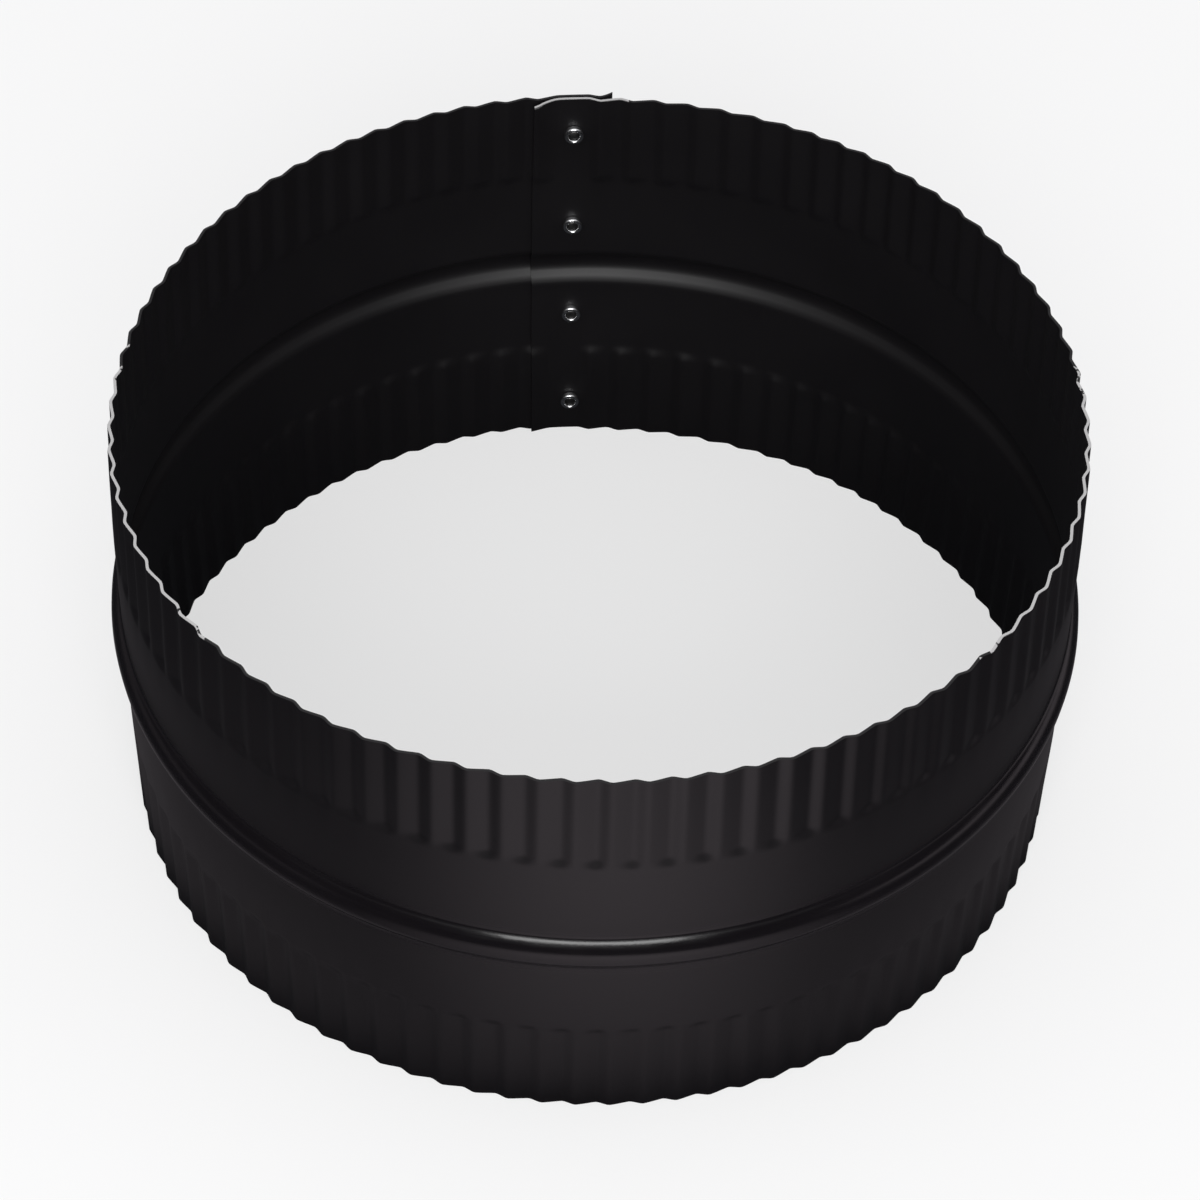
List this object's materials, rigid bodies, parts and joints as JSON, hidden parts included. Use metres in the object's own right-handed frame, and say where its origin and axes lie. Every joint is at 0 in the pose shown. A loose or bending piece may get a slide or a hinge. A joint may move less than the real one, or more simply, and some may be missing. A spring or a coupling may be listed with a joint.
{
  "type": "stove pipe connector",
  "caption": "Double crimped stove pipe connector: a rolled sheet ring with fluted ends that slip into plain pipes, a stop bead round its middle and a riveted lap seam.",
  "frame": {"origin": "on the ring's axis, in the plane of the lower rim", "axes": "+Z along the pipe axis, up as pictured; +Y towards the riveted lap seam; +X completes a right-handed frame"},
  "size_m": [0.2062, 0.2062, 0.1016],
  "materials": {
    "black_paint": "satin",
    "rivet_aluminium": "satin",
    "mandrel_steel": "satin"
  },
  "bodies": {
    "root": {"band": "black_paint", "seam_rivets": "rivet_aluminium", "rivet_mandrels": "mandrel_steel"}
  },
  "joints": []
}
